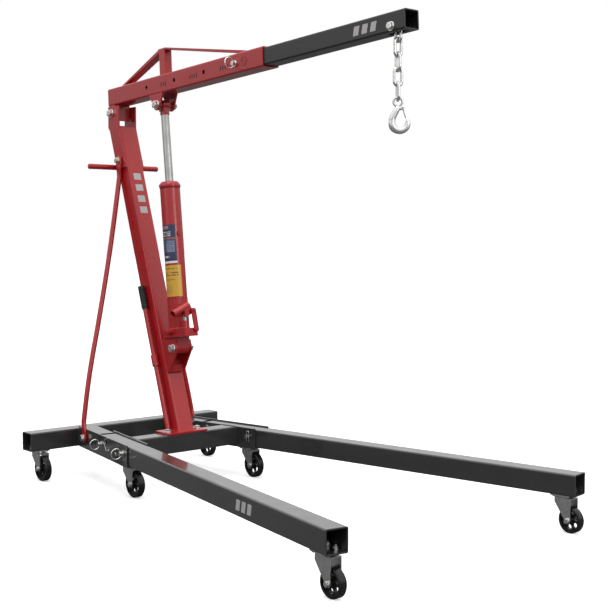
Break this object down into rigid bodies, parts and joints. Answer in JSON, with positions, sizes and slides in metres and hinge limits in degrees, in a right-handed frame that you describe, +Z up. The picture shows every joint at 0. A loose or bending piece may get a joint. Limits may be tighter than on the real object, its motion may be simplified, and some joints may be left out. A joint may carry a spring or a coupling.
{
  "type": "engine hoist crane",
  "caption": "Folding engine hoist with casters, a leaning mast, a boom lifted by a hydraulic ram, and a pull-out jib with chain and hook.",
  "frame": {"origin": "middle of the footprint's bounding box, on the floor", "axes": "+X from the rear crossbar towards the hook, +Z up, -Y the side with the stored pump handle"},
  "size_m": [1.741, 1.0006, 1.4948],
  "materials": {
    "dark_paint": "semi-gloss dark grey paint",
    "red_paint": "gloss red powder coat",
    "black_paint": "semi-gloss black paint",
    "zinc": "bright zinc plate",
    "rod_steel": "ground steel",
    "grip_rubber": "matte black",
    "wheel_nylon": "moulded black nylon"
  },
  "bodies": {
    "base": {"rear_crossbar": "dark_paint", "channel_near": "dark_paint", "channel_far": "dark_paint", "cross_member": "dark_paint", "base_caster_plates": "zinc", "base_caster_bolts": "zinc", "fold_pins": "zinc", "lock_pins": "zinc", "pin_rings": "zinc", "spring_clips": "zinc", "mast": "red_paint", "foot_bolts": "zinc", "mast_head": "red_paint", "ram_bracket": "red_paint", "push_handle": "red_paint", "stays": "red_paint", "stay_bolts": "zinc", "main_bolts": "zinc"},
    "stored_handle": {"pump_handle": "red_paint", "pump_grip": "grip_rubber"},
    "near_leg": {"leg_near": "dark_paint", "leg_near_caster_mount": "zinc"},
    "far_leg": {"leg_far": "dark_paint", "leg_far_caster_mount": "zinc"},
    "rear_near_caster": {"rear_near_fork": "zinc", "rear_near_axle": "zinc"},
    "rear_near_roller": {"rear_near_wheel": "wheel_nylon"},
    "rear_far_caster": {"rear_far_fork": "zinc", "rear_far_axle": "zinc"},
    "rear_far_roller": {"rear_far_wheel": "wheel_nylon"},
    "middle_near_caster": {"middle_near_fork": "zinc", "middle_near_axle": "zinc"},
    "middle_near_roller": {"middle_near_wheel": "wheel_nylon"},
    "middle_far_caster": {"middle_far_fork": "zinc", "middle_far_axle": "zinc"},
    "middle_far_roller": {"middle_far_wheel": "wheel_nylon"},
    "front_near_caster": {"front_near_fork": "zinc", "front_near_axle": "zinc"},
    "front_near_roller": {"front_near_wheel": "wheel_nylon"},
    "front_far_caster": {"front_far_fork": "zinc", "front_far_axle": "zinc"},
    "front_far_roller": {"front_far_wheel": "wheel_nylon"},
    "boom": {"boom": "red_paint", "truss": "red_paint", "clevis_bolt": "zinc", "jib_pin": "zinc"},
    "jib": {"jib": "black_paint", "tip_bolt": "zinc"},
    "chain": {"chain": "zinc"},
    "hook": {"hook": "zinc"},
    "latch": {"latch": "zinc"},
    "ram": {"ram_barrel": "red_paint", "pump_block": "red_paint", "pump_link": "red_paint"},
    "rod": {"piston_rod": "rod_steel", "rod_eye": "red_paint", "eye_pin": "zinc"},
    "valve": {"release_valve": "red_paint"},
    "plunger": {"plunger": "rod_steel"},
    "lever": {"pump_lever": "red_paint"}
  },
  "joints": [
    {"name": "near_leg_fold", "type": "hinge", "parent": "base", "child": "near_leg", "pos_m": [-0.56302, -0.2163, 0.148], "axis": [-0.1754, -0.9845, 0], "range_deg": [0, 90]},
    {"name": "far_leg_fold", "type": "hinge", "parent": "base", "child": "far_leg", "pos_m": [-0.56302, 0.2163, 0.148], "axis": [0.1754, -0.9845, 0], "range_deg": [0, 90]},
    {"name": "rear_near_swivel", "type": "hinge", "parent": "base", "child": "rear_near_caster", "pos_m": [-0.82293, -0.352, 0.1], "axis": [0, 0, 1], "continuous": true},
    {"name": "rear_near_spin", "type": "hinge", "parent": "rear_near_caster", "child": "rear_near_roller", "pos_m": [-0.79393, -0.352, 0.044], "axis": [0, 1, 0], "continuous": true},
    {"name": "rear_far_swivel", "type": "hinge", "parent": "base", "child": "rear_far_caster", "pos_m": [-0.82293, 0.352, 0.1], "axis": [0, 0, 1], "continuous": true},
    {"name": "rear_far_spin", "type": "hinge", "parent": "rear_far_caster", "child": "rear_far_roller", "pos_m": [-0.79393, 0.352, 0.044], "axis": [0, 1, 0], "continuous": true},
    {"name": "middle_near_swivel", "type": "hinge", "parent": "base", "child": "middle_near_caster", "pos_m": [-0.39664, -0.24593, 0.1], "axis": [0, 0, 1], "continuous": true},
    {"name": "middle_near_spin", "type": "hinge", "parent": "middle_near_caster", "child": "middle_near_roller", "pos_m": [-0.36764, -0.24593, 0.044], "axis": [0, 1, 0], "continuous": true},
    {"name": "middle_far_swivel", "type": "hinge", "parent": "base", "child": "middle_far_caster", "pos_m": [-0.39664, 0.24593, 0.1], "axis": [0, 0, 1], "continuous": true},
    {"name": "middle_far_spin", "type": "hinge", "parent": "middle_far_caster", "child": "middle_far_roller", "pos_m": [-0.36764, 0.24593, 0.044], "axis": [0, 1, 0], "continuous": true},
    {"name": "front_near_swivel", "type": "hinge", "parent": "near_leg", "child": "front_near_caster", "pos_m": [0.80347, -0.45971, 0.104], "axis": [0, 0, 1], "continuous": true},
    {"name": "front_near_spin", "type": "hinge", "parent": "front_near_caster", "child": "front_near_roller", "pos_m": [0.83247, -0.45971, 0.038], "axis": [0, 1, 0], "continuous": true},
    {"name": "front_far_swivel", "type": "hinge", "parent": "far_leg", "child": "front_far_caster", "pos_m": [0.80347, 0.45971, 0.104], "axis": [0, 0, 1], "continuous": true},
    {"name": "front_far_spin", "type": "hinge", "parent": "front_far_caster", "child": "front_far_roller", "pos_m": [0.83247, 0.45971, 0.038], "axis": [0, 1, 0], "continuous": true},
    {"name": "handle_lift_out", "type": "slide", "parent": "base", "child": "stored_handle", "axis": [-0.3206, 0, 0.9472], "range_m": [0, 0.27]},
    {"name": "boom_lift", "type": "hinge", "parent": "base", "child": "boom", "pos_m": [-0.83993, 0, 1.295], "axis": [0, -1, 0], "range_deg": [-25, 30]},
    {"name": "jib_extend", "type": "slide", "parent": "boom", "child": "jib", "axis": [0.9987, 0, 0.0506], "range_m": [-0.51, 0]},
    {"name": "chain_hang", "type": "hinge", "parent": "jib", "child": "chain", "pos_m": [0.58187, 0, 1.41409], "axis": [0, -1, 0], "range_deg": [-30, 25]},
    {"name": "hook_swing", "type": "hinge", "parent": "chain", "child": "hook", "pos_m": [0.58187, 0, 1.21873], "axis": [-0.7547, 0.6561, 0], "range_deg": [-25, 25]},
    {"name": "latch_open", "type": "hinge", "parent": "hook", "child": "latch", "pos_m": [0.5904, 0.00981, 1.19639], "axis": [-0.7547, 0.6561, 0], "range_deg": [0, 40]},
    {"name": "ram_swing", "type": "hinge", "parent": "base", "child": "ram", "pos_m": [-0.46093, 0, 0.467], "axis": [0, -1, 0], "range_deg": [-0.41, 0.41]},
    {"name": "rod_extend", "type": "slide", "parent": "ram", "child": "rod", "axis": [-0.1072, 0, 0.9942], "range_m": [-0.1227, 0.1472]},
    {"name": "pump_stroke", "type": "hinge", "parent": "ram", "child": "lever", "pos_m": [-0.40561, 0.002, 0.59768], "axis": [0.9942, 0, 0.1072], "range_deg": [-20, 20]},
    {"name": "plunger_stroke", "type": "slide", "parent": "ram", "child": "plunger", "axis": [-0.1072, 0, 0.9942], "range_m": [-0.0085, 0.0085], "stiffness_N_per_m": 1500},
    {"name": "valve_turn", "type": "hinge", "parent": "ram", "child": "valve", "pos_m": [-0.46483, -0.0413, 0.5219], "axis": [0, 1, 0], "range_deg": [0, 180]}
  ],
  "couplings": [
    {"joint": "chain_hang", "follows": "boom_lift", "ratio": -1},
    {"joint": "ram_swing", "follows": "boom_lift", "ratio": -0.013},
    {"joint": "rod_extend", "follows": "boom_lift", "m_per_rad": 0.28075},
    {"joint": "plunger_stroke", "follows": "pump_stroke", "m_per_rad": -0.024}
  ]
}
